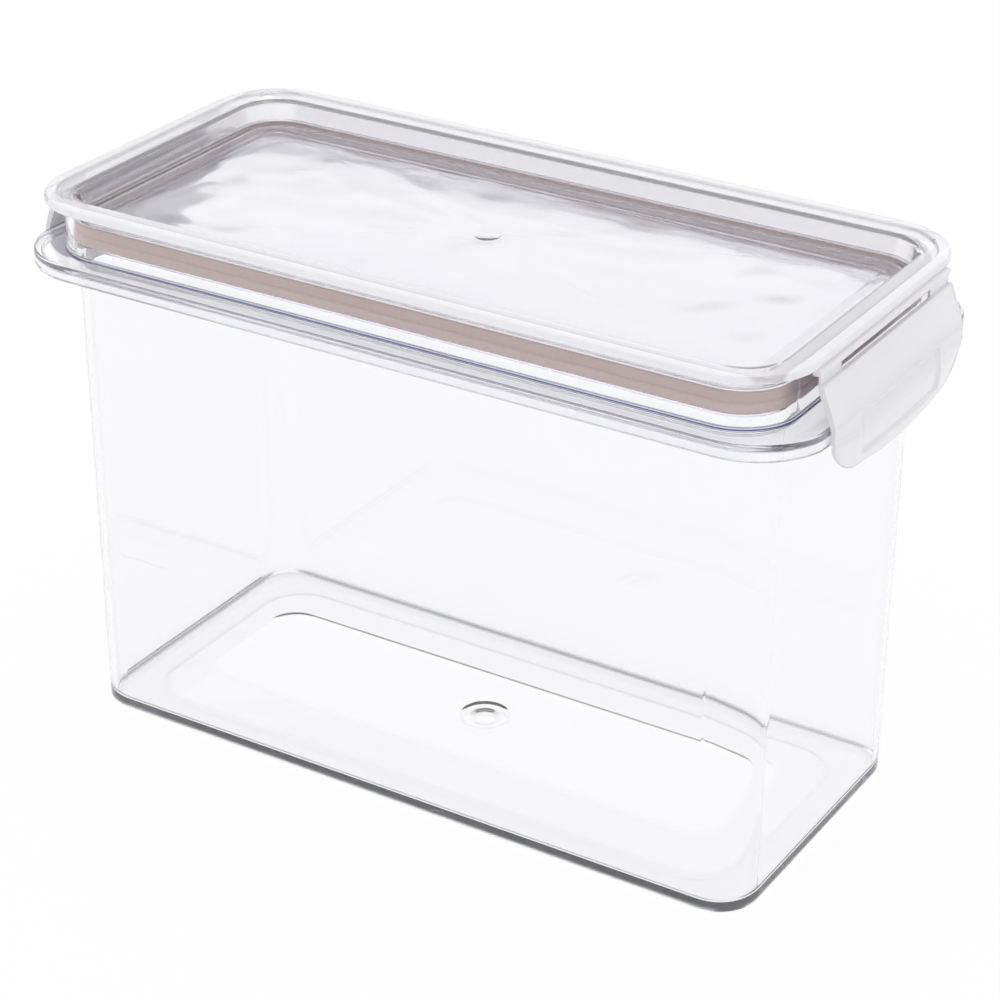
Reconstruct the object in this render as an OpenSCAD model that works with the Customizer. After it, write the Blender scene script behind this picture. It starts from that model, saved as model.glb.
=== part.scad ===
// Clear airtight storage box with a sunken, latched lid.
// The origin is the centre of the base, +Z is up and X runs along the long side.
// Every ring of the box and of the lid is one outline swept round four shared corner centres.

/* [Container] */
// Outside length of the walls at the base
base_l = 210.8; // [176:0.2:253]
// Outside width of the walls at the base
base_w = 94.4; // [80:0.2:120]
// Outside radius of the upright corners at the base
base_r = 12; // [11:0.5:16]
// Height of the collar's upper face
collar_z = 141; // [110:1:180]
// Thickness of the walls and the floor
wall_t = 2; // [1.6:0.1:2.2]
// How far each wall leans out between the base and the collar
draft = 0.6; // [0:0.1:1]

/* [Neck and collar] */
// How far the neck stands out from the base outline
neck_out = 3.8; // [3.2:0.1:4.5]
// Height of the neck above the collar
neck_h = 13.9; // [13:0.1:18]
// How far the collar stands out from the base outline on the long sides
collar_out_side = 9.65; // [8.5:0.05:10.5]
// How far the collar stands out from the base outline on the short ends
collar_out_end = 12.8; // [12:0.1:13.6]
// Height of the collar's outer edge
collar_edge_h = 4.6; // [4:0.1:6]

/* [Lid] */
// How far the lid's rim stands out from the base outline
rim_out = 8.8; // [8:0.1:9.4]
// Thickness of the rim's outer edge
rim_edge_t = 2; // [1.6:0.1:2.4]
// Depth of the sunken panel below the top of the rim
panel_depth = 7.4; // [6:0.1:9]
// Thickness of the sunken panel
panel_t = 1.5; // [1.2:0.1:2]

/* [Seal] */
// Height of the sealing ring
seal_h = 5.7; // [5:0.1:6.5]
// Free gap between the sealing lip and the neck
lip_gap = 0.2; // [0.15:0.05:0.4]

/* [Latches] */
// Width of each latch
latch_w = 74; // [60:1:78]
// Height of each latch below its hinge line
latch_h = 27.9; // [25:0.1:31]
// Length of the window between the two hinge strips of a latch
window_l = 50; // [36:1:54]
// How far a latch stands open, for drawing only
latch_angle = 0; // [0:5:110]

/* [Hidden] */
$fn = 64;
clear_tint = [0.86, 0.87, 0.96, 0.35];
frost_tint = [0.93, 0.93, 0.97, 0.7];
seal_tint = [0.76, 0.67, 0.64];

// Corner centres shared by the walls, the neck, the lid and the seal.
corner_x = base_l / 2 - base_r;
corner_y = base_w / 2 - base_r;
eps = 0.01;

// Container, radii measured out from the corner centres.
foot_round = 1.5;
wall_top_r = base_r + draft;
neck_r = base_r + neck_out;
neck_bore_r = neck_r - wall_t;
neck_top = collar_z + neck_h;
neck_edge = 0.6;
collar_t = 2.2;
collar_low = collar_z - collar_edge_h;
jog_low = collar_z - 4.4;
jog_h = 2.6;
ledge_low = jog_low + 1.8;
ledge_high = collar_z - 0.4;
floor_fillet = 2;
fillet_mid = 0.6;
collar_side_r = base_r + collar_out_side;
collar_corner_x = corner_x + collar_out_end - collar_out_side;
collar_lip_t = 2.2;
collar_in_r = collar_side_r - collar_lip_t;
collar_round = 0.7;
seat_depth = 0.9;
seat_w = latch_w + 2;
collar_end_x = corner_x + base_r + collar_out_end;
seat_x = collar_end_x - seat_depth;

// Raised floor panel with a sloping border.
floor_t = wall_t + 0.2;
floor_rise = 2.3;
floor_slope = 11;
floor_border = 10.8;
floor_panel_r = 14;
floor_x = base_l / 2 - floor_border - floor_panel_r;
floor_y = base_w / 2 - floor_border - floor_panel_r;
gate_r = 7.5;
gate_dimple_r = 4;
gate_depth = 0.4;

// Lid, radii measured out from the same corner centres.
lid_gap = 0.3;
rim_r = base_r + rim_out;
rim_low = neck_top + lid_gap;
rim_top = rim_low + rim_edge_t;
bead_in_r = rim_r - 3.6;
shelf_z = rim_top - 0.7;
tray_top_r = neck_r - 3.4;
tray_low_r = neck_r - 5.9;
panel_z = rim_top - panel_depth;
plug_r = neck_bore_r - 0.8;
groove_r = neck_bore_r - 2.5;
skirt_in_r = groove_r - 1.5;
seal_low = rim_top - 12.6;
seal_top = seal_low + seal_h;
seal_in_gap = 0.1;
groove_top = seal_top + seal_in_gap;
seal_in_r = groove_r + seal_in_gap;
lip_r = neck_bore_r - lip_gap;
band_r = neck_bore_r - 0.5;
split_z = seal_low + 0.48 * seal_h;
seal_round = 0.6;
plug_low = seal_low - 1.2;
flange_r = neck_bore_r - 1.2;
rim_round = 0.9;
bead_chamfer = 0.3;
shelf_chamfer = 0.8;
plug_chamfer = 0.4;
panel_join_r = tray_low_r - 2;
panel_step_r = 5.2;
panel_step_w = 2.4;
panel_step_h = 0.6;
lid_gate_r = 3.5;
lid_gate_h = 0.3;

// Hinge rail, hinge strips and latches, placed at the +X end and mirrored to the other.
rail_h = 1.6;
rail_low = rim_low - rail_h;
rail_x = corner_x + rim_r + 1;
rail_in_x = rail_x - 2.4;
axis_x = rail_x;
axis_z = rail_low - 1.1;
pin_r = 0.6;
pin_gap = 0.1;
strip_t = 0.6;
strip_l = (latch_w - window_l) / 2 - 1;
strip_y = window_l / 2 + 0.5;
knuckle_r = 1.5;
knuckle_out_deg = 55;
window_low = axis_z - 1.2;
latch_low = axis_z - latch_h;
latch_t = 1.5;
latch_in_x = seat_x + 1.1;
ridge_gap = 0.35;
ridge_x = seat_x + ridge_gap;
ridge_top = collar_low - 0.3;
ridge_h = 1.9;
tab_t = 1.7;
ledge_z = collar_z - 0.4;
bulge_z = ledge_z - 8;
tab_out_x = latch_in_x + latch_t + 1;
latch_corner_r = 13;
thumb_w = 45;
thumb_depth = 0.5;
thumb_top = ledge_z - 0.8;
thumb_low = latch_low + 4.2;
thumb_r = 6;

// Sweeps a profile round a rectangle of corner centres: x is the radius, y is the height.
module sweep(cx, cy) {
    for (turn = [0:3]) {
        sx = (turn == 0 || turn == 3) ? 1 : -1;
        sy = turn < 2 ? 1 : -1;
        translate([sx * cx, sy * cy, 0])
            rotate([0, 0, 90 * turn])
                rotate_extrude(angle = 90)
                    children();
    }
    for (side = [0, 180]) {
        rotate([0, 0, side])
            translate([cx, 0, 0])
                rotate([90, 0, 0])
                    linear_extrude(height = 2 * cy, center = true)
                        children();
        rotate([0, 0, side + 90])
            translate([cy, 0, 0])
                rotate([90, 0, 0])
                    linear_extrude(height = 2 * cx, center = true)
                        children();
    }
}

// Flat outline with the same corner centres.
module outline(cx, cy, r) {
    square([2 * (cx + r), 2 * cy], center = true);
    square([2 * cx, 2 * (cy + r)], center = true);
    for (sx = [-1, 1]) {
        for (sy = [-1, 1]) {
            translate([sx * cx, sy * cy])
                circle(r);
        }
    }
}

// Slab between two heights with the same corner centres.
module slab(cx, cy, r, low, high) {
    translate([0, 0, low])
        linear_extrude(height = high - low)
            outline(cx, cy, r);
}

// Places something made at the +X end on either end.
module at_end(side) {
    if (side < 0) {
        mirror([1, 0, 0])
            children();
    } else {
        children();
    }
}

// Turns a profile drawn in X and Z into a bar of the given length along Y.
module bar(length) {
    rotate([90, 0, 0])
        linear_extrude(height = length, center = true)
            children();
}

// Walls, inner ledge and neck in one outline.
module container_profile() {
    polygon([
        [base_r - wall_t - floor_fillet, 0],
        [base_r - foot_round, 0],
        [base_r - 0.4 * foot_round, 0.25 * foot_round],
        [base_r, foot_round],
        [wall_top_r, jog_low],
        [neck_r, jog_low + jog_h],
        [neck_r, neck_top - neck_edge],
        [neck_r - neck_edge, neck_top],
        [neck_bore_r + neck_edge, neck_top],
        [neck_bore_r, neck_top - neck_edge],
        [neck_bore_r, ledge_high],
        [wall_top_r - wall_t, ledge_low],
        [base_r - wall_t, floor_t + floor_fillet],
        [base_r - wall_t - fillet_mid, floor_t + fillet_mid],
        [base_r - wall_t - floor_fillet, floor_t]
    ]);
}

// Down-turned outer edge of the collar.
module collar_profile() {
    polygon([
        [collar_in_r, collar_low],
        [collar_side_r - collar_round, collar_low],
        [collar_side_r, collar_low + collar_round],
        [collar_side_r, collar_z - collar_round],
        [collar_side_r - collar_round, collar_z],
        [collar_in_r, collar_z]
    ]);
}

module collar() {
    difference() {
        union() {
            sweep(collar_corner_x, corner_y)
                collar_profile();
            slab(collar_corner_x, corner_y, collar_in_r + eps, collar_z - collar_t, collar_z);
        }
        slab(corner_x, corner_y, neck_r - wall_t / 2, collar_low - 1, collar_z + 1);
        for (side = [-1, 1]) {
            at_end(side)
                translate([seat_x, -seat_w / 2, collar_low - 1])
                    cube([5, seat_w, collar_edge_h + 2]);
        }
    }
}

// Flat border, sloping band and raised middle of the floor.
module floor_panel() {
    difference() {
        slab(corner_x, corner_y, base_r - wall_t - 1, 0, floor_t);
        slab(floor_x, floor_y, floor_panel_r, -1, floor_t + 1);
    }
    sweep(floor_x, floor_y)
        polygon([
            [floor_panel_r, 0],
            [floor_panel_r, floor_t],
            [floor_panel_r - floor_slope, floor_t + floor_rise],
            [floor_panel_r - floor_slope, floor_rise]
        ]);
    difference() {
        slab(floor_x, floor_y, floor_panel_r - floor_slope, floor_rise, floor_t + floor_rise);
        translate([0, 0, floor_t + floor_rise - gate_depth])
            cylinder(r = gate_r, h = 2 * gate_depth);
        translate([0, 0, floor_t + floor_rise - 2 * gate_depth])
            cylinder(r = gate_dimple_r, h = 2 * gate_depth);
    }
}

module container() {
    color(clear_tint)
        union() {
            sweep(corner_x, corner_y)
                container_profile();
            floor_panel();
            collar();
        }
}

// Rim bead, shelf, tray wall and the groove that holds the seal.
module lid_profile() {
    polygon([
        [plug_r, rim_low],
        [rim_r - rim_round / 2, rim_low],
        [rim_r, rim_low + rim_round / 2],
        [rim_r, rim_top - rim_round],
        [rim_r - rim_round / 3, rim_top - rim_round / 3],
        [rim_r - rim_round, rim_top],
        [bead_in_r + bead_chamfer, rim_top],
        [bead_in_r - bead_chamfer, shelf_z],
        [tray_top_r + shelf_chamfer, shelf_z],
        [tray_top_r, shelf_z - shelf_chamfer],
        [tray_low_r, panel_z + shelf_chamfer],
        [tray_low_r - shelf_chamfer, panel_z],
        [panel_join_r, panel_z],
        [panel_join_r, panel_z - panel_t],
        [skirt_in_r, panel_z - panel_t],
        [skirt_in_r, plug_low],
        [flange_r - plug_chamfer, plug_low],
        [flange_r, plug_low + plug_chamfer],
        [flange_r, seal_low],
        [groove_r, seal_low],
        [groove_r, groove_top],
        [plug_r, groove_top]
    ]);
}

// Sunken panel, stepped up a little inside its border.
module tray_panel() {
    step_r = panel_step_r - panel_step_w;
    difference() {
        slab(corner_x, corner_y, panel_join_r + eps, panel_z - panel_t, panel_z);
        slab(corner_x, corner_y, panel_step_r, panel_z - panel_t - 1, panel_z + 1);
    }
    sweep(corner_x, corner_y)
        polygon([
            [panel_step_r, panel_z - panel_t],
            [panel_step_r, panel_z],
            [step_r, panel_z + panel_step_h],
            [step_r, panel_z + panel_step_h - panel_t]
        ]);
    slab(corner_x, corner_y, step_r, panel_z + panel_step_h - panel_t, panel_z + panel_step_h);
    translate([0, 0, panel_z + panel_step_h - eps])
        cylinder(r = lid_gate_r, h = lid_gate_h);
}

// Rail under the rim that carries the hinge strips of one latch.
module hinge_rail(side) {
    at_end(side)
        translate([rail_in_x, -latch_w / 2, rail_low])
            cube([rail_x - rail_in_x, latch_w, rail_h + rim_edge_t / 2]);
}

module lid() {
    color(frost_tint)
        union() {
            sweep(corner_x, corner_y)
                lid_profile();
            tray_panel();
            hinge_rail(-1);
            hinge_rail(1);
        }
}

// Ring with an upper band, a thin groove and a lower sealing lip.
module seal_profile() {
    polygon([
        [seal_in_r, seal_low],
        [lip_r - seal_round, seal_low],
        [lip_r, seal_low + seal_round],
        [lip_r, split_z - seal_round],
        [lip_r - seal_round / 2, split_z - seal_round / 2],
        [band_r - seal_round, split_z],
        [band_r - seal_round / 3, split_z + seal_round / 2],
        [band_r, split_z + seal_round],
        [band_r, seal_top - seal_round],
        [band_r - seal_round, seal_top],
        [seal_in_r, seal_top]
    ]);
}

module lid_seal() {
    color(seal_tint)
        sweep(corner_x, corner_y)
            seal_profile();
}

// Thin hinge strips with a round bead on the hinge line, one each side of the window.
module hinge(side) {
    color(frost_tint)
        at_end(side)
            for (end = [-1, 1]) {
                translate([axis_x, end * (strip_y + strip_l / 2), axis_z]) {
                    rotate([90, 0, 0])
                        cylinder(r = pin_r, h = strip_l, center = true);
                    translate([-strip_t, -strip_l / 2, 0])
                        cube([strip_t, strip_l, rail_low - axis_z]);
                }
            }
}

// Side view of a latch below the window: bulged outside, catch ridge inside.
module latch_profile() {
    shoulder_z = ledge_z + 4;
    neck_in_z = window_low - 3.4;
    polygon([
        [axis_x - latch_t / 2, window_low],
        [axis_x + latch_t / 2, window_low],
        [axis_x + latch_t / 2 + 1.1, neck_in_z + 0.3],
        [latch_in_x + 0.2, shoulder_z],
        [latch_in_x + latch_t - 0.3, ledge_z + 0.6],
        [latch_in_x + latch_t, ledge_z],
        [tab_out_x - 0.3, bulge_z + 4],
        [tab_out_x, bulge_z],
        [tab_out_x - 0.2, latch_low + 4],
        [tab_out_x - 0.8, latch_low],
        [tab_out_x - 0.5 - tab_t, latch_low],
        [tab_out_x - 0.1 - tab_t, latch_low + 4],
        [tab_out_x - tab_t, ridge_top - ridge_h - 1.1],
        [ridge_x, ridge_top - ridge_h],
        [ridge_x, ridge_top - ridge_h / 2],
        [ridge_x + 0.4, ridge_top],
        [latch_in_x + 0.1, ridge_top],
        [latch_in_x, ledge_z + 0.6],
        [latch_in_x - 1.6, shoulder_z + 0.2],
        [axis_x - latch_t / 2 + 1, neck_in_z]
    ]);
}

// Part ring that wraps the hinge bead from the inner side round to the outer side.
module knuckle_profile() {
    reach = 4;
    translate([axis_x, axis_z])
        difference() {
            intersection() {
                circle(knuckle_r);
                polygon([
                    [0, 0],
                    [-reach, 0],
                    [-reach, -reach],
                    [reach * sin(knuckle_out_deg), -reach],
                    [reach * sin(knuckle_out_deg), -reach * cos(knuckle_out_deg)]
                ]);
            }
            circle(pin_r + pin_gap);
        }
}

// Shallow thumb recess with round lower corners, cut into the outer face.
module thumb_recess() {
    mid_z = (thumb_low + thumb_top) / 2;
    half_h = (thumb_top - thumb_low) / 2;
    translate([tab_out_x - thumb_depth, 0, mid_z])
        rotate([90, 0, 90])
            linear_extrude(height = 3)
                outline(thumb_w / 2 - thumb_r, half_h - thumb_r + 1, thumb_r - 1);
}

// Outline of a latch seen from the end, with large round lower corners.
module latch_outline() {
    top_z = axis_z + 2;
    straight_w = latch_w - 2 * latch_corner_r;
    translate([axis_x - 4, 0, 0])
        rotate([90, 0, 90])
            linear_extrude(height = 16) {
                translate([-latch_w / 2, latch_low + latch_corner_r])
                    square([latch_w, top_z - latch_low - latch_corner_r]);
                translate([-straight_w / 2, latch_low])
                    square([straight_w, latch_corner_r + 1]);
                for (end = [-1, 1]) {
                    translate([end * straight_w / 2, latch_low + latch_corner_r])
                        circle(latch_corner_r);
                }
            }
}

module latch(side) {
    color(frost_tint)
        at_end(side)
            translate([axis_x, 0, axis_z])
                rotate([0, -latch_angle, 0])
                    translate([-axis_x, 0, -axis_z])
                        difference() {
                            union() {
                                intersection() {
                                    bar(latch_w)
                                        latch_profile();
                                    latch_outline();
                                }
                                for (end = [-1, 1]) {
                                    translate([0, end * (strip_y + strip_l / 2), 0])
                                        bar(strip_l)
                                            knuckle_profile();
                                }
                            }
                            thumb_recess();
                        }
}

container();
lid();
lid_seal();
latch(-1);  // latch_left
latch(1);  // latch_right
hinge(-1);  // hinge_left
hinge(1);  // hinge_right
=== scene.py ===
"""Clear storage canister with a sunken lid, a sealing ring and two latches, built on its fixed frame."""

import math

import bmesh
import bpy
from mathutils import Matrix, Vector, noise
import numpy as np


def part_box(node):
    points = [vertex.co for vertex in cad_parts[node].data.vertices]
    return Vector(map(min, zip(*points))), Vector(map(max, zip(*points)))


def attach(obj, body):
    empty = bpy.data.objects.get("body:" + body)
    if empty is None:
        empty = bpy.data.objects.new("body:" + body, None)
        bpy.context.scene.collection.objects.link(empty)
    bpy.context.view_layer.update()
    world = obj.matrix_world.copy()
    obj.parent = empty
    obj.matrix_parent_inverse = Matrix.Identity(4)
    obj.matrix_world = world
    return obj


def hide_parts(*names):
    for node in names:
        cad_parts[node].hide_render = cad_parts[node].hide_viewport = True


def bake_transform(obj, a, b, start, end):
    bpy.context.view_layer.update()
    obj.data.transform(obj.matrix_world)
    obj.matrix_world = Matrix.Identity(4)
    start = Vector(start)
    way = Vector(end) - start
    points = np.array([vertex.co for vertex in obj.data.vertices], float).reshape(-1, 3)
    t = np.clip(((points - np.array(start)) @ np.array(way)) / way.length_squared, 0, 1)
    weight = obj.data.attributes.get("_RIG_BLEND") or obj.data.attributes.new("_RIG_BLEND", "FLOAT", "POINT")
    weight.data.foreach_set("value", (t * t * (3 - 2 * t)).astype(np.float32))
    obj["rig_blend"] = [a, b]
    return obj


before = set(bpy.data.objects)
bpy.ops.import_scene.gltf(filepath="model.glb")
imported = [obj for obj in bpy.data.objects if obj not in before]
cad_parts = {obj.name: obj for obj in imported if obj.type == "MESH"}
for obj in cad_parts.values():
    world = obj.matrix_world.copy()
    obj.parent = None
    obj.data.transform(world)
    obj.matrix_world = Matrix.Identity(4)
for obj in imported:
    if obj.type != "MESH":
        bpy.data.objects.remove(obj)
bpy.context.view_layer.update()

bl_info = {
    "name": "Latched Canister",
    "version": (1, 0, 0),
    "blender": (4, 5, 0),
    "location": "View3D > Sidebar > Canister",
    "description": "Builds a clear storage canister with a sunken, latched lid",
    "category": "Add Mesh",
}

MM = 0.001
NECK_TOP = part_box("container")[1].z / MM
LID_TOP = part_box("lid")[1].z / MM
SEAL_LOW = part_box("lid_seal")[0].z / MM
SEAL_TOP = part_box("lid_seal")[1].z / MM
LATCH_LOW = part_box("latch_right")[0].z / MM
LATCH_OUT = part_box("latch_right")[1].x / MM
LATCH_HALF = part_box("latch_right")[1].y / MM
LATCH_FACE_TOP = 141.0
COLLAR_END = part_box("container")[1].x / MM
COLLAR_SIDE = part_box("container")[1].y / MM
SEAL_SPLIT = SEAL_LOW + 0.48 * (SEAL_TOP - SEAL_LOW)

CLEAR_IOR = 1.46
FROST_IOR = 1.38
FROST_DEPTH_TINT = (0.74, 0.72, 0.82)
FROST_DENSITY = 3.5
TRAY_MILK = 0.34
BOARD_SHARE = 0.06

# Round marks left in the middle of a face: each step is a radius and a rise from the step before.
FLOOR_MARK = (
    (7.6, 0),
    (7.3, -0.1),
    (6.8, -0.35),
    (6.2, -0.1),
    (4.9, 0),
    (4.4, -0.1),
    (3.5, -0.4),
    (2.8, -0.1),
    (0.5, 0),
)
PANEL_MARK = ((4.2, 0), (3.7, 0), (3.5, 0.06), (3.2, 0.1), (0.5, 0))
NO_MARK = ((0.5, 0),)

# Name, place, aim, width, height and power of each softbox, in metres and watts.
SOFTBOXES = (
    ("back_panel", (-0.75, 1.20, 0.95), (0.0, 0.0, 0.05), 0.9, 0.6, 0.7),
    ("top_panel", (0.1, -0.1, 1.5), (0.0, 0.0, 0.1), 0.5, 0.3, 0.6),
    ("left_panel", (-1.2, -0.9, 0.7), (0.0, 0.0, 0.1), 0.5, 0.5, 0.8),
)
CAMERA_PLACE = (0.36899, -0.59086, 0.43552)
CAMERA_TURN, CAMERA_TILT, CAMERA_ROLL = (math.radians(angle) for angle in (31.69, 27.47, 0.25))


# ---------------------------------------------------------------- settings


def size(name, text, millimetres):
    return bpy.props.FloatProperty(
        name=name, description=text, default=millimetres * MM, min=0.0, unit="LENGTH", precision=5
    )


def tint(name, text, red, green, blue):
    return bpy.props.FloatVectorProperty(
        name=name, description=text, default=(red, green, blue), size=3, min=0.0, max=1.0, subtype="COLOR"
    )


def share(name, text, value):
    return bpy.props.FloatProperty(
        name=name, description=text, default=value, min=0.0, max=1.0, subtype="FACTOR"
    )


class CanisterContainerSettings(bpy.types.PropertyGroup):
    corner_x: size("Corner Centre X", "Where the corner centres lie along the long side", 93.4)
    corner_y: size("Corner Centre Y", "Where the corner centres lie along the short side", 35.2)
    base_radius: size("Base Radius", "Outside radius of the upright corners at the base", 12.0)
    draft: size("Draft", "How far each wall leans out up to the collar", 0.6)
    wall: size("Wall", "Thickness of the walls and the neck", 2.0)
    collar_height: size("Collar Height", "Height of the collar's upper face", 141.0)
    floor_rise: size("Floor Rise", "How far the middle of the floor stands above its border", 2.3)
    glass_tint: tint("Surface Tint", "Colour of the clear surface", 0.985, 0.985, 1.0)
    depth_tint: tint("Depth Tint", "Colour that deepens where the plastic is seen edge on", 0.64, 0.62, 0.76)
    # Painted light and shade: colour of the painted shade along the foot, under the floor and at the
    # silhouettes, and of the painted light on the collar lip and the neck top.
    painted_light_tint: tint("Painted Light Tint", "Colour of the painted shade and light on the clear plastic", 0.93, 0.94, 1.0)
    # A dark blue reflection line painted at the root of the neck, in place of light reflected inside the
    # plastic there.
    painted_root_reflection: tint("Painted Root Reflection", "Dark blue reflection line painted at the root of the neck", 0.05, 0.045, 0.36)
    depth: bpy.props.FloatProperty(
        name="Depth Density", description="How fast the colour deepens, per metre", default=8.0, min=0.0
    )


class CanisterLidSettings(bpy.types.PropertyGroup):
    rim_radius: size("Rim Radius", "Radius of the lid's rim about the corner centres", 20.8)
    rim_edge: size("Rim Edge", "Thickness of the rim's outer edge", 2.0)
    tray_depth: size("Tray Depth", "Depth of the sunken panel below the rim", 7.4)
    panel: size("Panel", "Thickness of the sunken panel", 1.5)
    crown: size("Crown", "How far the panel rises towards its middle", 1.5)
    frost_tint: tint("Surface Tint", "Colour of the milky plastic", 0.965, 0.955, 0.995)
    tray_tint: tint("Tray Tint", "Colour of the clearer sunken tray", 0.875, 0.865, 0.905)
    milk: share("Milkiness", "How much of the light the milky plastic scatters", 0.64)


class CanisterSealSettings(bpy.types.PropertyGroup):
    inner_radius: size("Inner Radius", "Radius of the groove side about the corner centres", 11.4)
    lip_radius: size("Lip Radius", "Radius of the lower sealing lip", 13.6)
    band_radius: size("Band Radius", "Radius of the upper band", 13.3)
    seal_tint: tint("Colour", "Colour of the soft ring", 0.90, 0.715, 0.685)


class CanisterLatchSettings(bpy.types.PropertyGroup):
    hinge_x: size("Hinge X", "Distance of each hinge line from the middle", 115.2)
    hinge_z: size("Hinge Height", "Height of the hinge lines", 152.5)
    corner: size("Corner", "Radius of the lower corners", 13.0)
    thumb_width: size("Thumb Width", "Width of the shallow recess on the outer face", 45.0)
    strip_width: size("Strip Width", "Width of each hinge strip", 11.0)
    strip_middle: size("Strip Middle", "Distance of each hinge strip from the middle of the latch", 31.0)
    milk: share("Milkiness", "How much of the light the latches scatter", 0.62)


class CanisterStageSettings(bpy.types.PropertyGroup):
    floor_size: size("Floor Size", "Half the width of the floor", 4000.0)
    floor_tint: tint("Floor Colour", "Colour of the floor", 0.95, 0.95, 0.955)
    room: bpy.props.FloatProperty(
        name="Room Light", description="Strength of the even light all round", default=1.0, min=0.0
    )
    lens: bpy.props.FloatProperty(
        name="Lens", description="Focal length of the camera, in millimetres", default=102.65, min=1.0
    )


class CanisterSettings(bpy.types.PropertyGroup):
    container: bpy.props.PointerProperty(name="Container", type=CanisterContainerSettings)
    lid: bpy.props.PointerProperty(name="Lid", type=CanisterLidSettings)
    seal: bpy.props.PointerProperty(name="Seal", type=CanisterSealSettings)
    latch: bpy.props.PointerProperty(name="Latches", type=CanisterLatchSettings)
    stage: bpy.props.PointerProperty(name="Stage", type=CanisterStageSettings)


# ---------------------------------------------------------------- shader tools

# Sockets of a Mix node that mixes colours.
MIX_FACTOR, MIX_FIRST, MIX_SECOND, MIX_RESULT = 0, 6, 7, 2


class Signal:
    """One output of a shader node. Arithmetic on it adds Math nodes."""

    def __init__(self, shades, socket):
        self.shades = shades
        self.socket = socket

    def _math(self, operation, first, second=0.0):
        return self.shades.add("ShaderNodeMath", {"operation": operation}, {0: first, 1: second})

    def __add__(self, other):
        return self._math("ADD", self, other)

    def __radd__(self, other):
        return self._math("ADD", other, self)

    def __sub__(self, other):
        return self._math("SUBTRACT", self, other)

    def __rsub__(self, other):
        return self._math("SUBTRACT", other, self)

    def __mul__(self, other):
        return self._math("MULTIPLY", self, other)

    def __rmul__(self, other):
        return self._math("MULTIPLY", other, self)

    def __pow__(self, other):
        return self._math("POWER", self, other)

    def __abs__(self):
        return self._math("ABSOLUTE", self)

    def above(self, edge, soft):
        """0 below the edge and 1 above it, over a soft band."""
        return self.shades.add(
            "ShaderNodeMapRange",
            {"interpolation_type": "SMOOTHSTEP"},
            {"Value": self, "From Min": edge - soft, "From Max": edge + soft},
        )


class Shades:
    """A material and the one way its nodes are made."""

    def __init__(self, name):
        self.material = bpy.data.materials.new(name)
        self.material.use_nodes = True
        self.tree = self.material.node_tree
        self.tree.nodes.clear()

    def add(self, kind, settings=None, inputs=None, output=0):
        """Adds a node with its settings and the values or links of its sockets."""
        node = self.tree.nodes.new(kind)
        for key, value in (settings or {}).items():
            setattr(node, key, value)
        for key, value in (inputs or {}).items():
            if isinstance(value, Signal):
                self.tree.links.new(value.socket, node.inputs[key])
            else:
                node.inputs[key].default_value = value
        return Signal(self, node.outputs[output]) if len(node.outputs) else None

    def place(self):
        return self.add("ShaderNodeTexCoord", output="Object")

    def axes(self):
        """The three coordinates of a point on the piece."""
        parts = self.add("ShaderNodeSeparateXYZ", None, {"Vector": self.place()}).socket.node.outputs
        return [Signal(self, parts[axis]) for axis in "XYZ"]

    def outside(self, x, y, half_x, half_y, soft):
        """0 inside an upright box round the middle and 1 outside it, over a soft band."""
        return self.add(
            "ShaderNodeMath",
            {"operation": "MAXIMUM"},
            {0: abs(x).above(half_x, soft), 1: abs(y).above(half_y, soft)},
        )

    def stretched(self, scale):
        return self.add(
            "ShaderNodeMapping", {"vector_type": "POINT"}, {"Vector": self.place(), "Scale": scale}
        )

    def grain(self, scale, detail=2.0, roughness=0.5, vector=None):
        return self.add(
            "ShaderNodeTexNoise",
            {"noise_dimensions": "3D"},
            {"Vector": vector or self.place(), "Scale": scale, "Detail": detail, "Roughness": roughness},
        )

    def blend(self, factor, first, second):
        """Mixes two colours."""
        first, second = (c if isinstance(c, Signal) else (*c, 1.0) for c in (first, second))
        inputs = {MIX_FACTOR: factor, MIX_FIRST: first, MIX_SECOND: second}
        return self.add("ShaderNodeMix", {"data_type": "RGBA"}, inputs, MIX_RESULT)

    def bump(self, height, strength, distance, under=None):
        inputs = {"Height": height, "Strength": strength, "Distance": distance}
        if under is not None:
            inputs["Normal"] = under
        return self.add("ShaderNodeBump", None, inputs)

    def finish(self, surface, volume=None):
        inputs = {"Surface": surface}
        if volume is not None:
            inputs["Volume"] = volume
        self.add("ShaderNodeOutputMaterial", None, inputs)
        return self.material


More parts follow.
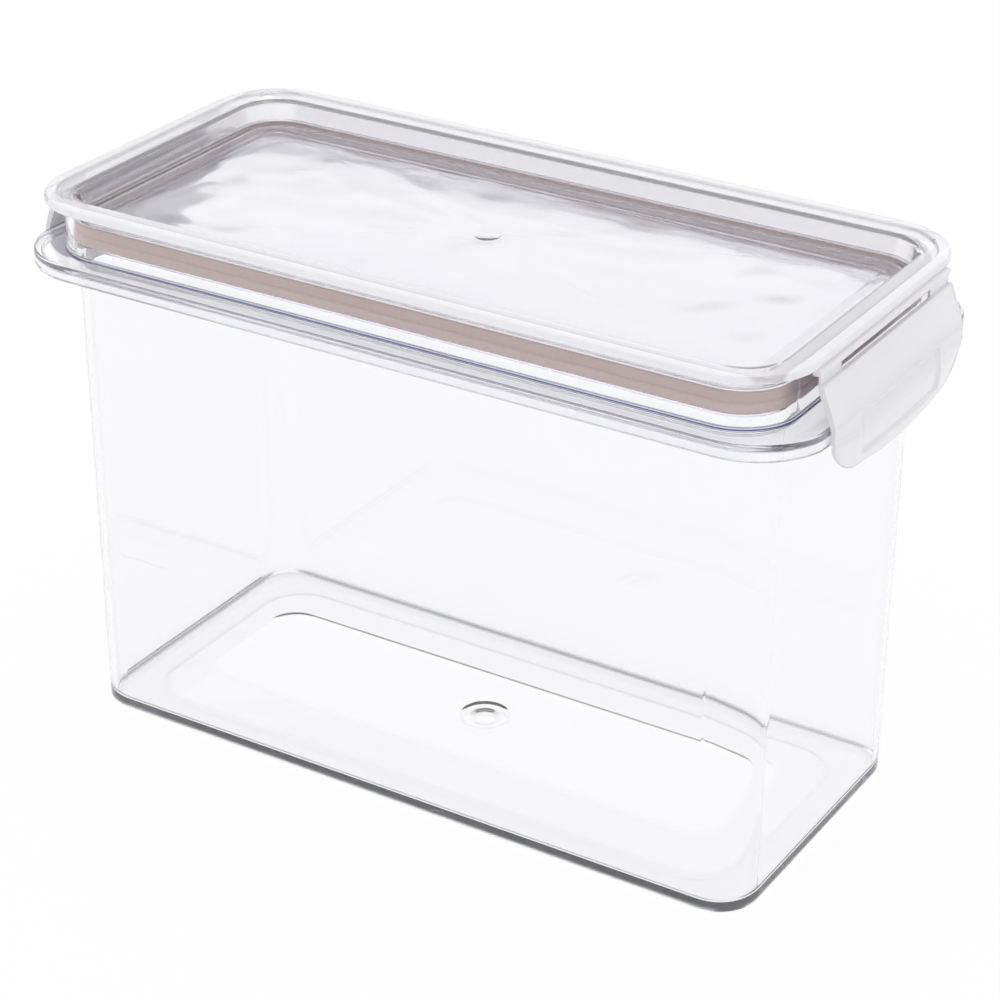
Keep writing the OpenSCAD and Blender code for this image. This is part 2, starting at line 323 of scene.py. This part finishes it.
def clear_plastic(settings):
    """Glass-clear moulded plastic, tinted in depth, with painted shade along its foot, under its floor and at
    its silhouettes, painted light on its collar lip and neck top, and a painted blue reflection line at the
    root of its neck.
    """
    s = Shades("clear_moulded_plastic")
    clouds = s.grain(9.0, 2.0)
    fine = s.grain(900.0, 3.0, 0.6)
    pulled = s.grain(1.0, 2.0, 0.5, s.stretched((22.0, 22.0, 7.0)))
    along = s.grain(1.0, 1.0, 0.5, s.stretched((14.0, 14.0, 0.0)))
    x, y, z = s.axes()
    facing = s.add("ShaderNodeLayerWeight", None, {"Blend": 0.3}, "Facing")
    long_side = settings.corner_x + settings.base_radius
    short_side = settings.corner_y + settings.base_radius
    collar = settings.collar_height
    # Masks of the painted light and shade: painted shade along the foot and on the underside, painted light
    # on the collar's outer lip, a painted blue reflection line at the root of the neck and a painted shade
    # line along the neck's top edge.
    foot = s.outside(x, y, long_side - 0.0012, short_side - 0.0012, 0.0006) * (1.0 - z.above(0.0012, 0.0011))
    under = 1.0 - z.above(0.0003, 0.0002)
    lip = z.above(collar - 0.0052, 0.0004) * s.outside(x, y, long_side + 0.0085, short_side + 0.0065, 0.002)
    root = z.above(collar + 0.0001, 0.0002) * (1.0 - z.above(collar + 0.0006, 0.0002))
    top = z.above(NECK_TOP * MM - 0.0006, 0.0005)
    low_painted_shade = 0.012 + 0.85 * foot + 0.12 * under
    high_painted_light = 0.16 * lip + root * (0.2 + 0.8 * along) + 0.2 * top
    # Painted shade is also laid on the silhouettes, where the surface is seen edge on.
    painted_light_share = low_painted_shade + high_painted_light + 0.22 * facing ** 3.0
    colour = s.blend(clouds, tuple(settings.glass_tint), (1.0, 1.0, 1.0))
    # Colour of the painted light and shade: lavender, and dark blue at the neck root.
    edge = s.blend(root, tuple(settings.painted_light_tint), tuple(settings.painted_root_reflection))
    rough = 0.008 + 0.02 * clouds * fine
    waves = s.bump(pulled, 0.10, 0.0012)
    body = s.add(
        "ShaderNodeBsdfPrincipled",
        None,
        {
            "Base Color": colour,
            "Roughness": rough,
            "IOR": CLEAR_IOR,
            "Transmission Weight": 1.0,
            "Normal": waves,
        },
    )
    # A diffuse layer that carries the painted light and shade.
    painted_light_layer = s.add(
        "ShaderNodeBsdfPrincipled",
        None,
        {"Base Color": edge, "Roughness": 0.25, "IOR": CLEAR_IOR},
    )
    return s.finish(
        s.add("ShaderNodeMixShader", None, {0: painted_light_share, 1: body, 2: painted_light_layer}),
        s.add(
            "ShaderNodeVolumeAbsorption",
            None,
            {"Color": (*settings.depth_tint, 1.0), "Density": settings.depth},
        ),
    )


def frosted_plastic(name, settings, milk, zones=None):
    """Natural, slightly milky moulded plastic. The lid is clearer inside its shelf and tinted in its panel.

    The zones are three half lengths and half widths, past which the panel, the tray and the shelf end.
    """
    s = Shades(name)
    clouds = s.grain(24.0, 3.0)
    fine = s.grain(1400.0, 2.0, 0.6)
    pulled = s.grain(38.0, 2.0, 0.55)
    colour = s.blend(clouds, tuple(settings.frost_tint), (0.985, 0.98, 1.0))
    rough = 0.16 + 0.10 * clouds
    cloud = milk + 0.10 * clouds
    if zones:
        x, y, _ = s.axes()
        panel, tray, shelf = (s.outside(x, y, half_x * MM, half_y * MM, 0.0006) for half_x, half_y in zones)
        rough = (0.035 + 0.02 * clouds) + tray * (0.05 + 0.03 * clouds) + shelf * (0.08 + 0.05 * clouds)
        cloud = (0.05 + 0.03 * clouds) + tray * TRAY_MILK + shelf * (milk - TRAY_MILK + 0.02)
        colour = s.blend(panel, tuple(settings.tray_tint), colour)
    skin = s.bump(fine, 0.05, 0.0002, s.bump(pulled, 0.12, 0.0012))
    skinned = {"Base Color": colour, "Roughness": rough, "IOR": FROST_IOR, "Normal": skin}
    clear = s.add("ShaderNodeBsdfPrincipled", None, {**skinned, "Transmission Weight": 1.0})
    milky = s.add("ShaderNodeBsdfPrincipled", None, skinned)
    return s.finish(
        s.add("ShaderNodeMixShader", None, {0: cloud, 1: clear, 2: milky}),
        s.add(
            "ShaderNodeVolumeAbsorption",
            None,
            {"Color": (*FROST_DEPTH_TINT, 1.0), "Density": FROST_DENSITY},
        ),
    )


def soft_silicone(settings):
    """Satin, slightly mottled soft ring, with painted shade on its upper band and painted light on its lower
    lip.
    """
    s = Shades("satin_silicone")
    clouds = s.grain(70.0, 4.0, 0.6)
    fine = s.grain(2600.0, 2.0, 0.6)
    base = Vector(settings.seal_tint)
    # Painted light and shade: the upper band above the split is painted darker and browner, as the shade of
    # the rim over it, and the lower lip lighter, as the light it catches.
    band = s.axes()[2].above(SEAL_SPLIT * MM, 0.0002)
    painted_band_shade_lip_light = s.blend(band, tuple(base * 1.06), (base.x * 0.90, base.y * 0.84, base.z * 0.80))
    colour = s.blend(clouds, painted_band_shade_lip_light, tuple(base * 0.98))
    return s.finish(
        s.add(
            "ShaderNodeBsdfPrincipled",
            None,
            {
                "Base Color": colour,
                "Roughness": 0.44 + 0.12 * clouds,
                "IOR": 1.42,
                "Normal": s.bump(fine, 0.12, 0.0001),
            },
        )
    )


def pale_sweep(settings):
    """Plain pale floor, lit from within like a light table."""
    s = Shades("pale_sweep")
    clouds = s.grain(3.0, 2.0)
    colour = s.blend(clouds, tuple(settings.floor_tint), (1.0, 1.0, 1.0))
    board = s.add("ShaderNodeBsdfDiffuse", None, {"Color": colour})
    glow = s.add("ShaderNodeEmission", None, {"Color": (1.0, 1.0, 1.0, 1.0), "Strength": 1.0})
    return s.finish(s.add("ShaderNodeMixShader", None, {0: BOARD_SHARE, 1: glow, 2: board}))


# ---------------------------------------------------------------- mesh tools

# In millimetres: corners rounded less than this take fewer segments, the short step at each end of a
# straight run, and how far off an outline its points may lie.
SMALL_ROUNDING, LEAD, NEAR = 0.25, 0.5, 0.02


def wire(bm, points, place, closed):
    """Lays a profile of (radius, height, rounding) down in an empty mesh and rounds its corners."""
    corners = [bm.verts.new(place(radius, height)) for radius, height, _ in points]
    for pair in zip(corners, corners[1:]):
        bm.edges.new(pair)
    if closed:
        bm.edges.new((corners[-1], corners[0]))
    for rounding in sorted({point[2] for point in points if point[2] > 0}):
        chosen = [v for v, point in zip(corners, points) if point[2] == rounding]
        bmesh.ops.bevel(
            bm,
            geom=chosen,
            offset=rounding,
            offset_type="OFFSET",
            segments=2 if rounding < SMALL_ROUNDING else 4,
            profile=0.5,
            affect="VERTICES",
            clamp_overlap=True,
            material=-1,
        )
    return [*bm.verts, *bm.edges]


def new_mesh():
    """An empty mesh with room for each point's turn round the middle."""
    bm = bmesh.new()
    bm.verts.layers.float.new("turn")
    return bm


def ring(bm, centre_x, centre_y, points, closed=True, arc=12, long_parts=20, short_parts=8):
    """Sweeps a profile round a rectangle of corner centres, in an empty mesh."""
    geom = wire(bm, points, lambda r, z: (centre_x + r, centre_y, z), closed)
    for corner in range(4):
        sx = 1 if corner in (0, 3) else -1
        sy = 1 if corner < 2 else -1
        geom = bmesh.ops.spin(
            bm,
            geom=geom,
            cent=(sx * centre_x, sy * centre_y, 0.0),
            axis=(0.0, 0.0, 1.0),
            dvec=(0.0, 0.0, 0.0),
            angle=math.pi / 2,
            steps=arc,
        )["geom_last"]
        along = Vector(((-1, 0, 0), (0, -1, 0), (1, 0, 0), (0, 1, 0))[corner])
        run = 2 * (centre_x if corner in (0, 2) else centre_y)
        parts = long_parts if corner in (0, 2) else short_parts
        for step, count in ((LEAD, 1), ((run - 2 * LEAD) / parts, parts), (LEAD, 1)):
            geom = bmesh.ops.spin(
                bm,
                geom=geom,
                cent=(0.0, 0.0, 0.0),
                axis=(0.0, 0.0, 1.0),
                dvec=along * step,
                angle=0.0,
                steps=count,
            )["geom_last"]
    bmesh.ops.remove_doubles(bm, verts=bm.verts[:], dist=0.002)


def reach(point, centre_x, centre_y):
    """Distance of a point from the rectangle of corner centres, seen from above."""
    return math.hypot(max(abs(point.x) - centre_x, 0.0), max(abs(point.y) - centre_y, 0.0))


def open_loop(bm, centre_x, centre_y, radius, height):
    """The open edges that lie on one outline at one height."""
    return [
        e
        for e in bm.edges
        if e.is_boundary
        and all(
            abs(v.co.z - height) < NEAR and abs(reach(v.co, centre_x, centre_y) - radius) < NEAR
            for v in e.verts
        )
    ]


def step_in(bm, edges, outlines):
    """Extrudes an open loop from one outline to the next.

    An outline is its corner centre, radius and height.
    """
    for (old_x, old_y, old_r, _), (new_x, new_y, new_r, height) in zip(outlines, outlines[1:]):
        edges, verts = pushed(bm, edges)
        for v in verts:
            v.co.x = moved(v.co.x, old_x, old_r, new_x, new_r)
            v.co.y = moved(v.co.y, old_y, old_r, new_y, new_r)
            v.co.z = height
    return edges


def moved(value, old_centre, old_radius, new_centre, new_radius):
    """Where a coordinate on one rounded outline lies on another."""
    beyond = abs(value) - old_centre
    if beyond < 0:
        return value * new_centre / old_centre
    return math.copysign(new_centre + beyond * new_radius / old_radius, value)


def draw_in(bm, edges, half_x, half_y, radius, stops, mark):
    """Draws an open loop in to a circle round the middle, adds the steps of a round mark, and closes it.

    The stops run from 0 to 1, and each step of the mark is a radius and a rise.
    """
    turn = bm.verts.layers.float["turn"]
    for v in {v for e in edges for v in e.verts}:
        v[turn] = math.atan2(v.co.y / half_y, v.co.x / half_x)
    done = 0.0
    for stop in stops:
        edges, verts = pushed(bm, edges)
        for v in verts:
            goal = Vector((radius * math.cos(v[turn]), radius * math.sin(v[turn])))
            v.co.xy = v.co.xy.lerp(goal, (stop - done) / (1.0 - done))
        done = stop
    for width, rise in mark:
        edges, verts = pushed(bm, edges)
        bmesh.ops.scale(bm, vec=(width / radius, width / radius, 1.0), verts=verts)
        bmesh.ops.translate(bm, vec=(0.0, 0.0, rise), verts=verts)
        radius = width
    bmesh.ops.holes_fill(bm, edges=edges, sides=0)


def pushed(bm, edges):
    """Extrudes open edges in place and returns the new edges and points."""
    made = bmesh.ops.extrude_edge_only(bm, edges=edges)["geom"]
    verts = [g for g in made if isinstance(g, bmesh.types.BMVert)]
    new = set(verts)
    return [g for g in made if isinstance(g, bmesh.types.BMEdge) and set(g.verts) <= new], verts


def piece(bm, name, material, body, replaced, sharp=32.0, blend=None):
    """Turns a mesh made in millimetres into a finished piece that moves with its body."""
    bmesh.ops.recalc_face_normals(bm, faces=bm.faces[:])
    bmesh.ops.scale(bm, vec=(MM, MM, MM), verts=bm.verts[:])
    mesh = bpy.data.meshes.new(name)
    bm.to_mesh(mesh)
    bm.free()
    mesh.shade_smooth()
    mesh.set_sharp_from_angle(angle=math.radians(sharp))
    mesh.materials.append(material)
    made = bpy.data.objects.new(name, mesh)
    bpy.context.scene.collection.objects.link(made)
    weigh = made.modifiers.new("Even shading", "WEIGHTED_NORMAL")
    weigh.keep_sharp = True
    weigh.weight = 50
    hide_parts(*replaced)
    if blend:
        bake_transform(made, body, blend[0], start=blend[1], end=blend[2])
    else:
        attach(made, body)


def ramp(depth, width):
    """0 up to an edge and 1 past it, over the width given."""
    return max(0.0, min(1.0, depth / width))


def eased(value):
    """A value from 0 to 1 with a smooth start and stop."""
    return value * value * (3 - 2 * value)


def mirrored(bm, side):
    """Turns a mesh made at the +X end round to the end asked for."""
    if side < 0:
        bmesh.ops.rotate(
            bm, cent=(0, 0, 0), matrix=Matrix.Rotation(math.pi, 3, "Z"), verts=bm.verts[:]
        )


# ---------------------------------------------------------------- operators


class CANISTER_OT_container(bpy.types.Operator):
    """Builds the clear container with its collar, neck and stepped floor"""

    bl_idname = "canister.container"
    bl_label = "Container"

    def execute(self, context):
        s = context.scene.canister.container
        cx, cy = s.corner_x / MM, s.corner_y / MM
        foot, wall = s.base_radius / MM, s.wall / MM
        top = foot + s.draft / MM
        collar = s.collar_height / MM
        side = COLLAR_SIDE - cy
        neck = foot + 3.8
        floor = wall + 0.2
        join = foot - wall - 2.5
        bm = new_mesh()
        ring(
            bm,
            cx,
            cy,
            [
                (join, 0.0, 0.0),
                (foot, 0.0, 1.5),
                (top, collar - 4.4, 1.0),
                (neck - 0.5, collar - 2.2, 0.3),
                (side - 2.2, collar - 2.2, 0.5),
                (side - 2.2, collar - 4.6, 0.4),
                (side, collar - 4.6, 0.7),
                (side, collar, 0.8),
                (neck, collar, 0.5),
                (neck, NECK_TOP, 0.6),
                (neck - wall, NECK_TOP, 0.6),
                (neck - wall, collar - 0.4, 0.8),
                (top - wall, collar - 2.6, 0.9),
                (foot - wall, floor, 2.0),
                (join, floor, 0.0),
            ],
            closed=False,
        )
        # The collar's ends are pushed out and then cut flat, where the latches close over them.
        widen = COLLAR_END + 0.9 - cx - side
        for v in bm.verts:
            if v.co.z > collar - 6 and reach(v.co, cx, cy) > 18:
                if abs(v.co.x) > cx - 0.01:
                    v.co.x += math.copysign(widen, v.co.x)
                v.co.x = max(-COLLAR_END, min(COLLAR_END, v.co.x))
        # The floor slopes up from one outline to another: corner centre and radius of each.
        rise = s.floor_rise / MM
        px, py, pr = 80.6, 22.4, 14.0
        ix, iy, ir = 75.5, 12.5, 8.0
        for low, mark in ((floor, FLOOR_MARK), (0.0, NO_MARK)):
            edges = step_in(
                bm,
                open_loop(bm, cx, cy, join, low),
                (
                    (cx, cy, join, low),
                    (px, py, pr + 0.8, low),
                    (px, py, pr + 0.2, low + 0.02),
                    (px, py, pr - 0.4, low + 0.09),
                    (px, py, pr - 1.2, low + 0.25),
                    (ix, iy, ir + 2.4, low + rise - 0.45),
                    (ix, iy, ir + 1.4, low + rise - 0.2),
                    (ix, iy, ir + 0.4, low + rise - 0.05),
                    (ix, iy, ir - 0.6, low + rise),
                    (ix, iy, ir - 2.0, low + rise),
                ),
            )
            draw_in(bm, edges, ix + ir - 2, iy + ir - 2, 8.5, (0.1, 0.3, 0.6, 0.85, 1.0), mark)
        piece(bm, "clear_container", clear_plastic(s), "container", ["container"])
        return {"FINISHED"}


class CANISTER_OT_lid(bpy.types.Operator):
    """Builds the milky lid with its rim, sunken tray, seal groove and hinge rails"""

    bl_idname = "canister.lid"
    bl_label = "Lid"

    def execute(self, context):
        c = context.scene.canister.container
        s = context.scene.canister.lid
        hinge = context.scene.canister.latch.hinge_x / MM
        cx, cy = c.corner_x / MM, c.corner_y / MM
        rim, low = s.rim_radius / MM, LID_TOP - s.rim_edge / MM
        deep, thick = LID_TOP - s.tray_depth / MM, s.panel / MM
        back = deep - thick
        join = 7.2
        bm = new_mesh()
        ring(
            bm,
            cx,
            cy,
            [
                (join, deep, 0.0),
                (9.9, deep, 0.8),
                (12.4, LID_TOP - 0.7, 0.8),
                (17.1, LID_TOP - 0.7, 0.3),
                (17.5, LID_TOP, 0.3),
                (rim, LID_TOP, 0.8),
                (rim, low, 0.45),
                (13.0, low, 0.3),
                (13.0, SEAL_TOP + 0.1, 0.15),
                (11.3, SEAL_TOP + 0.1, 0.1),
                (11.3, SEAL_LOW, 0.1),
                (12.6, SEAL_LOW, 0.15),
                (12.6, SEAL_LOW - 1.2, 0.3),
                (9.8, SEAL_LOW - 1.2, 0.3),
                (9.8, back, 0.4),
                (join, back, 0.0),
            ],
            closed=False,
            long_parts=56,
            short_parts=22,
        )
        # The stepped border of the panel: its corner centre, its step and how it draws in to the middle.
        px, py = 94.2, 36.2
        step = 0.6
        inward = [0.03 * k for k in range(1, 12)] + [0.42, 0.52, 0.64, 0.76, 0.88, 1.0]
        for level, mark in ((deep, PANEL_MARK), (back, NO_MARK)):
            edges = step_in(
                bm,
                open_loop(bm, cx, cy, join, level),
                (
                    (cx, cy, join, level),
                    (px, py, 5.0, level),
                    (px, py, 4.6, level + 0.04),
                    (px, py, 4.2, level + 0.14),
                    (px, py, 2.6, level + step - 0.1),
                    (px, py, 2.2, level + step - 0.02),
                    (px, py, 1.2, level + step),
                ),
            )
            draw_in(bm, edges, px + 1.2, py + 1.2, 4.6, inward, mark)
        self.shape_panel(bm, px + 1.2, py + 1.2, deep, s.crown / MM)
        for end in (-1, 1):
            rail = bmesh.ops.create_cube(bm, size=1.0)["verts"]
            bmesh.ops.scale(bm, vec=(2.4, 2 * LATCH_HALF, 1.7), verts=rail)
            bmesh.ops.translate(bm, vec=(end * (hinge - 1.2), 0, low - 0.75), verts=rail)
            bmesh.ops.bevel(
                bm,
                geom=list({e for v in rail for e in v.link_edges}),
                offset=0.3,
                offset_type="OFFSET",
                segments=3,
                profile=0.5,
                affect="EDGES",
                clamp_overlap=True,
                material=-1,
            )
        material = frosted_plastic(
            "milky_lid_plastic",
            s,
            s.milk,
            [(cx + past, cy + past) for past in (8.0, 13.0, 17.2)],
        )
        piece(bm, "sunken_lid", material, "lid", ["lid"])
        return {"FINISHED"}

    @staticmethod
    def shape_panel(bm, half_x, half_y, deep, crown):
        """Crowns the sunken panel and gives it the slight unevenness of a thin moulding."""
        for v in bm.verts:
            if abs(v.co.x) > half_x or abs(v.co.y) > half_y or not deep - 3 < v.co.z < deep + 2:
                continue
            u, w = v.co.x / half_x, v.co.y / half_y
            inward = max((1 - u * u) * (1 - w * w), 0.0)
            swing, layer = (0.34, 0.7) if v.co.z > deep - 0.5 else (0.22, 5.1)
            wave = noise.noise(Vector((v.co.x / 13, v.co.y / 11, layer)))
            v.co.z += crown * math.sqrt(inward) + swing * wave * min(1.0, 12 * inward)


class CANISTER_OT_seal(bpy.types.Operator):
    """Builds the soft sealing ring with its upper band and lower lip"""

    bl_idname = "canister.seal"
    bl_label = "Sealing Ring"

    def execute(self, context):
        c = context.scene.canister.container
        s = context.scene.canister.seal
        inner, lip, band = s.inner_radius / MM, s.lip_radius / MM, s.band_radius / MM
        bm = new_mesh()
        ring(
            bm,
            c.corner_x / MM,
            c.corner_y / MM,
            [
                (inner, SEAL_LOW, 0.15),
                (lip, SEAL_LOW, 0.6),
                (lip, SEAL_SPLIT - 0.35, 0.4),
                (band - 0.35, SEAL_SPLIT, 0.12),
                (band, SEAL_SPLIT + 0.4, 0.3),
                (band, SEAL_TOP, 0.5),
                (inner, SEAL_TOP, 0.15),
            ],
        )
        piece(bm, "sealing_ring", soft_silicone(s), "lid", ["lid_seal"])
        return {"FINISHED"}


class CANISTER_OT_latches(bpy.types.Operator):
    """Builds the two latches with their catch ridges and thumb recesses"""

    bl_idname = "canister.latches"
    bl_label = "Latches"

    def execute(self, context):
        material = frosted_plastic(
            "milky_latch_plastic", context.scene.canister.lid, context.scene.canister.latch.milk
        )
        for side, name in ((-1, "latch_left"), (1, "latch_right")):
            bm = self.latch(context.scene.canister.latch)
            mirrored(bm, side)
            piece(bm, name + "_plate", material, name, [name], sharp=40.0)
        return {"FINISHED"}

    @staticmethod
    def latch(s):
        """One latch at the +X end: a rounded profile drawn along Y, then shaped at its corners."""
        hinge, top = s.hinge_x / MM, s.hinge_z / MM - 1.2
        out, low, half = LATCH_OUT, LATCH_LOW, LATCH_HALF
        corner, thumb = s.corner / MM, s.thumb_width / MM / 2
        inner = hinge + 3.2
        ledge, shoulder = 141.2, 144.6
        catch_x, catch_z = 117.65, 134.2
        bm = bmesh.new()
        wire(
            bm,
            [
                (hinge - 0.75, top, 0.3),
                (hinge + 0.75, top, 0.3),
                (hinge + 1.9, top - 3.1, 1.0),
                (inner + 0.2, shoulder, 0.6),
                (inner + 1.2, ledge, 0.3),
                (inner + 1.5, ledge - 0.6, 0.2),
                (out - 0.3, 136.6, 1.5),
                (out, 132.6, 1.5),
                (out - 0.2, low + 4, 1.2),
                (out - 0.8, low, 0.5),
                (out - 2.2, low, 0.5),
                (out - 1.8, low + 4, 1.2),
                (out - 1.7, 133.1, 0.5),
                (catch_x, catch_z, 0.3),
                (catch_x, catch_z + 1.0, 0.3),
                (catch_x + 0.4, catch_z + 1.9, 0.25),
                (inner + 0.1, catch_z + 1.9, 0.1),
                (inner, ledge, 0.8),
                (inner - 1.6, shoulder + 0.2, 1.0),
                (hinge + 0.25, top - 3.4, 1.0),
            ],
            lambda x, z: (x, -half, z),
            True,
        )
        long_edges = [e for e in bm.edges if e.calc_length() > 1.2]
        bmesh.ops.subdivide_edges(bm, edges=long_edges, cuts=4)
        bmesh.ops.contextual_create(bm, geom=bm.edges[:])
        # Short steps near the ends, where the corners and the recess need them.
        stops = [0.4, 0.6, *[1] * 10, 1.2, 0.8, 0.8, 0.8, 0.8, 2, 3, 4, 5, 6]
        stops = [*stops, 2 * half - 2 * sum(stops), *stops[::-1]]
        geom = [*bm.verts, *bm.edges]
        for step in stops:
            geom = bmesh.ops.spin(
                bm,
                geom=geom,
                cent=(0, 0, 0),
                axis=(0, 0, 1),
                dvec=(0, step, 0),
                angle=0.0,
                steps=1,
            )["geom_last"]
        bmesh.ops.contextual_create(bm, geom=[g for g in geom if isinstance(g, bmesh.types.BMEdge)])
        centre = low + corner
        straight = half - corner
        slack = 0.15
        for v in bm.verts:
            y = abs(v.co.y)
            if v.co.z < centre:
                drop = math.sqrt(max((corner + slack) ** 2 - max(y - straight, 0.0) ** 2, 0.0))
                bow = 1.0 - 0.32 * (y / half) ** 2
                v.co.z = centre - (centre - v.co.z) * min(1.0, drop / corner) * bow
            if v.co.x > 0.5 * (out + inner) + 0.1 and v.co.z < LATCH_FACE_TOP:
                v.co.x -= 0.9 * (y / half) ** 2 * ramp(LATCH_FACE_TOP - v.co.z, 4)
                edge_y = ramp(thumb - y, 1.1)
                edge_z = ramp(v.co.z - 128.4, 1.0) * ramp(140.4 - v.co.z, 1.2)
                v.co.x -= 0.7 * eased(edge_y) * eased(edge_z)
        return bm


class CANISTER_OT_hinges(bpy.types.Operator):
    """Builds the thin hinge strips that bend between the lid and each latch"""

    bl_idname = "canister.hinges"
    bl_label = "Hinge Strips"

    def execute(self, context):
        s = context.scene.canister.latch
        x, z = s.hinge_x / MM, s.hinge_z / MM
        material = frosted_plastic("milky_hinge_plastic", context.scene.canister.lid, s.milk)
        for side, name in ((-1, "left"), (1, "right")):
            bm = bmesh.new()
            for end in (-1, 1):
                strip = bmesh.ops.create_grid(bm, x_segments=1, y_segments=10, size=0.5)["verts"]
                bmesh.ops.rotate(bm, cent=(0, 0, 0), matrix=Matrix.Rotation(math.pi / 2, 3, "Y"), verts=strip)
                bmesh.ops.rotate(bm, cent=(0, 0, 0), matrix=Matrix.Rotation(math.pi / 2, 3, "X"), verts=strip)
                bmesh.ops.scale(bm, vec=(1, s.strip_width / MM, 2.7), verts=strip)
                bmesh.ops.translate(bm, vec=(x - 0.3, end * s.strip_middle / MM, z), verts=strip)
                faces = list({f for v in strip for f in v.link_faces})
                bmesh.ops.recalc_face_normals(bm, faces=faces)
                bmesh.ops.solidify(bm, geom=faces, thickness=0.6)
            mirrored(bm, side)
            piece(
                bm,
                "hinge_strips_" + name,
                material,
                "lid",
                ["hinge_" + name],
                blend=(
                    "latch_" + name,
                    (side * x * MM, 0, (z + 1.15) * MM),
                    (side * x * MM, 0, (z - 1.15) * MM),
                ),
            )
        return {"FINISHED"}


class CANISTER_OT_stage(bpy.types.Operator):
    """Sets the pale floor, the soft lights and the camera"""

    bl_idname = "canister.stage"
    bl_label = "Stage"

    def execute(self, context):
        s = context.scene.canister.stage
        bm = bmesh.new()
        bmesh.ops.create_grid(bm, x_segments=8, y_segments=8, size=s.floor_size)
        bmesh.ops.translate(bm, vec=(0, 0, -0.0002), verts=bm.verts[:])
        mesh = bpy.data.meshes.new("floor")
        bm.to_mesh(mesh)
        bm.free()
        mesh.materials.append(pale_sweep(s))
        floor = bpy.data.objects.new("floor", mesh)
        context.scene.collection.objects.link(floor)

        world = bpy.data.worlds.new("soft_room")
        world.use_nodes = True
        background = world.node_tree.nodes["Background"]
        background.inputs["Color"].default_value = (1.0, 1.0, 1.0, 1.0)
        background.inputs["Strength"].default_value = s.room
        context.scene.world = world

        for box in SOFTBOXES:
            self.softbox(context, *box)

        out = math.cos(CAMERA_TILT)
        back = Vector((math.sin(CAMERA_TURN) * out, -math.cos(CAMERA_TURN) * out, math.sin(CAMERA_TILT)))
        level = (-back).cross(Vector((0, 0, 1))).normalized()
        rise = level.cross(-back)
        right = level * math.cos(CAMERA_ROLL) + rise * math.sin(CAMERA_ROLL)
        up = rise * math.cos(CAMERA_ROLL) - level * math.sin(CAMERA_ROLL)
        data = bpy.data.cameras.new("camera")
        data.lens = s.lens
        data.sensor_width = 36.0
        data.clip_start, data.clip_end = 0.05, 50.0
        camera = bpy.data.objects.new("camera", data)
        facing = Matrix((right, up, back)).transposed().to_4x4()
        camera.matrix_world = Matrix.Translation(CAMERA_PLACE) @ facing
        context.scene.collection.objects.link(camera)
        context.scene.camera = camera

        context.scene.view_settings.view_transform = "Standard"
        cycles = context.scene.cycles
        cycles.max_bounces = 20
        cycles.transmission_bounces = 20
        cycles.glossy_bounces = 6
        cycles.diffuse_bounces = 5
        cycles.sample_clamp_indirect = 3.0
        cycles.use_denoising = True
        return {"FINISHED"}

    @staticmethod
    def softbox(context, name, place, aim, width, height, power):
        data = bpy.data.lights.new(name, "AREA")
        data.shape = "RECTANGLE"
        data.size, data.size_y = width, height
        data.energy = power
        lamp = bpy.data.objects.new(name, data)
        lamp.location = place
        lamp.rotation_mode = "QUATERNION"
        lamp.rotation_quaternion = (Vector(aim) - Vector(place)).to_track_quat("-Z", "Y")
        context.scene.collection.objects.link(lamp)


class CANISTER_PT_panel(bpy.types.Panel):
    """Lists the pieces of the canister"""

    bl_idname = "CANISTER_PT_panel"
    bl_label = "Latched Canister"
    bl_space_type = "VIEW_3D"
    bl_region_type = "UI"
    bl_category = "Canister"

    def draw(self, context):
        settings = context.scene.canister
        for operator, group in STEPS:
            box = self.layout.box()
            box.operator(operator.bl_idname)
            if group:
                chosen = getattr(settings, group)
                for name in chosen.bl_rna.properties.keys():
                    if name not in ("rna_type", "name"):
                        box.prop(chosen, name)


STEPS = (
    (CANISTER_OT_container, "container"),
    (CANISTER_OT_lid, "lid"),
    (CANISTER_OT_seal, "seal"),
    (CANISTER_OT_latches, "latch"),
    (CANISTER_OT_hinges, None),
    (CANISTER_OT_stage, "stage"),
)
CLASSES = (
    CanisterContainerSettings,
    CanisterLidSettings,
    CanisterSealSettings,
    CanisterLatchSettings,
    CanisterStageSettings,
    CanisterSettings,
    *(step[0] for step in STEPS),
    CANISTER_PT_panel,
)


def register():
    for cls in CLASSES:
        bpy.utils.register_class(cls)
    bpy.types.Scene.canister = bpy.props.PointerProperty(type=CanisterSettings)


def unregister():
    del bpy.types.Scene.canister
    for cls in reversed(CLASSES):
        bpy.utils.unregister_class(cls)


def main():
    register()
    for operator, _ in STEPS:
        group, call = operator.bl_idname.split(".")
        getattr(getattr(bpy.ops, group), call)()


if __name__ == "__main__":
    main()
